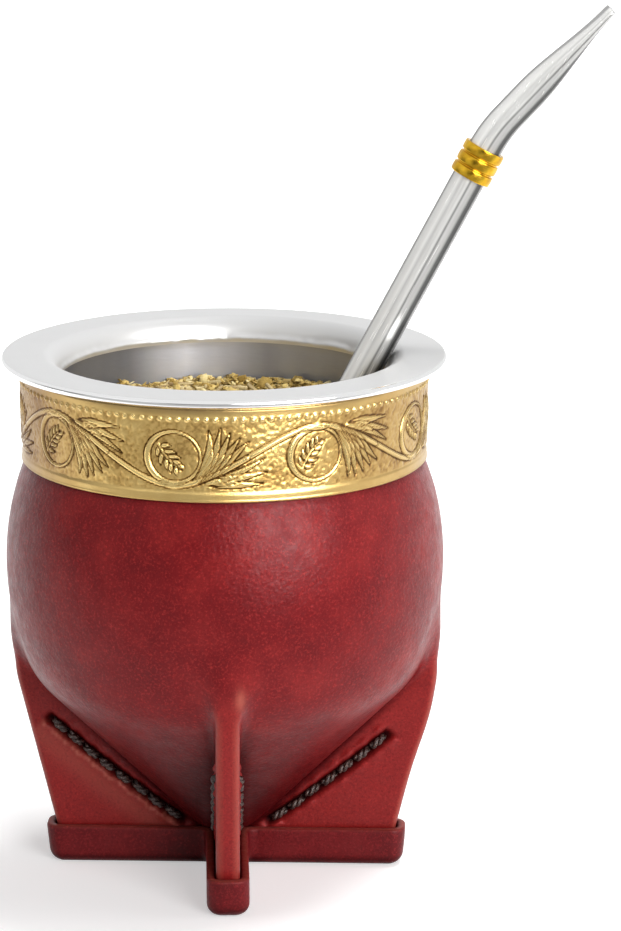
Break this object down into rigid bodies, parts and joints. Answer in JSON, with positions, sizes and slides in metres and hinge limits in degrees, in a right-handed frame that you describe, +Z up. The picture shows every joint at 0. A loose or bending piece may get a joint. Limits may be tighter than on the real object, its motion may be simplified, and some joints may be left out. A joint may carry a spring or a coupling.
{
  "type": "mate gourd drink",
  "caption": "Leather-covered mate gourd on folded fins with a chased brass band and a polished steel rim, filled with yerba, and a leaning steel bombilla.",
  "frame": {"origin": "on the cup's axis at the plane that the sole stands on", "axes": "+Z up along the cup's axis, +X the way the bombilla leans, -Y the front"},
  "size_m": [0.1257, 0.092, 0.1809],
  "materials": {
    "cover_leather": "burgundy fine-grained leather, semi-gloss, darker towards the base",
    "sole_leather": "burgundy moulded leather, semi-gloss",
    "thread": "dark brown waxed cord, twisted",
    "gourd": "dried calabash, hidden",
    "band_brass": "chased brass with a dark patina in its recesses",
    "rim_steel": "polished steel flange, brushed inside the bore",
    "yerba_leaf": "dried cut leaf and small sticks",
    "straw_steel": "polished steel tube",
    "collar_brass": "polished gold-coloured rings"
  },
  "bodies": {
    "root": {"leather_cover": "cover_leather", "leather_sole": "sole_leather", "gourd_shell": "gourd", "brass_band": "band_brass", "steel_rim": "rim_steel", "yerba": "yerba_leaf", "bombilla_tube": "straw_steel", "bombilla_mouthpiece": "straw_steel", "bombilla_collar": "collar_brass", "thread_right": "thread", "thread_back": "thread", "thread_left": "thread", "thread_front": "thread"}
  },
  "joints": []
}
